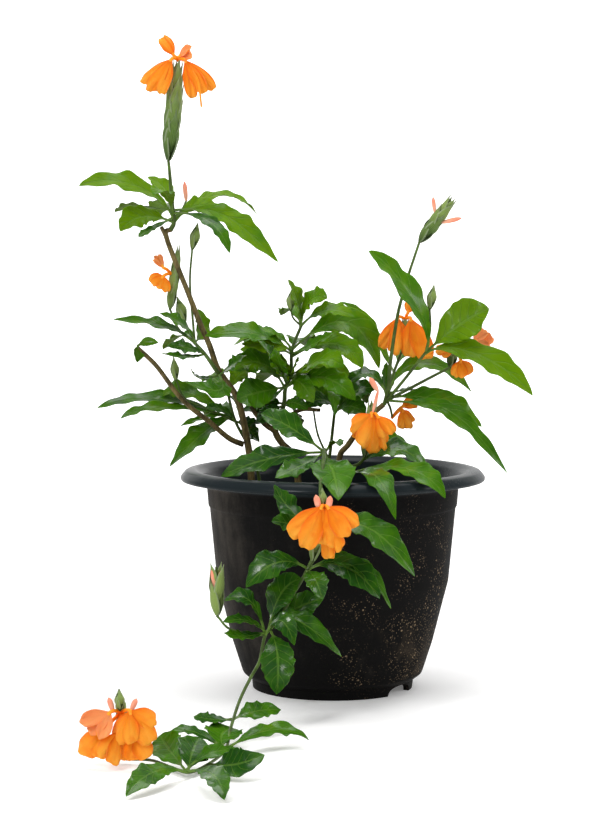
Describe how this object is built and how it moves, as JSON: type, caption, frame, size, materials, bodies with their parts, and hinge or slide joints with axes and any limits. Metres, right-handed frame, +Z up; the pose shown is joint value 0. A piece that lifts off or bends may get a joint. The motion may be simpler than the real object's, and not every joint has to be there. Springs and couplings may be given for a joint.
{
  "type": "potted crossandra plant",
  "caption": "Orange-flowered crossandra house plant growing in a round black nursery pot, with one flowering shoot that trails over the rim and lies on the surface.",
  "frame": {"origin": "centre of the pot's underside, on the surface that the pot stands on", "axes": "+Z up along the pot's axis; -Y is the front, where one shoot trails over the rim; +X is to the right of the front"},
  "size_m": [0.3956, 0.5782, 0.5759],
  "materials": {
    "pot_plastic": "satin",
    "potting_soil": "matte",
    "old_wood": "matte",
    "leaf_green": "satin",
    "bract_green": "matte",
    "petal_orange": "matte",
    "bud_peach": "matte"
  },
  "bodies": {
    "root": {"pot": "pot_plastic", "soil": "potting_soil", "stem_old": "old_wood", "stem_middle": "old_wood", "stem_right": "old_wood", "shoot_top": "leaf_green", "shoot_left": "leaf_green", "shoot_low_left": "leaf_green", "shoot_middle": "leaf_green", "shoot_low_middle": "leaf_green", "shoot_right": "leaf_green", "shoot_low_right": "leaf_green", "shoot_trailing": "leaf_green", "leaf_pruned": "leaf_green", "spike_top": "bract_green", "spike_left": "bract_green", "spike_tall_right": "bract_green", "spike_right": "bract_green", "spike_far_right": "bract_green", "spike_middle": "bract_green", "spike_front": "bract_green", "spike_hanging_left": "bract_green", "spike_floor": "bract_green", "bloom_top": "petal_orange", "bloom_left": "petal_orange", "bloom_right": "petal_orange", "bloom_far_right": "petal_orange", "bloom_middle": "petal_orange", "bloom_behind": "petal_orange", "bloom_front": "petal_orange", "bloom_floor": "petal_orange", "bud_tall_left": "bud_peach", "bud_tall_right": "bud_peach"}
  },
  "joints": []
}
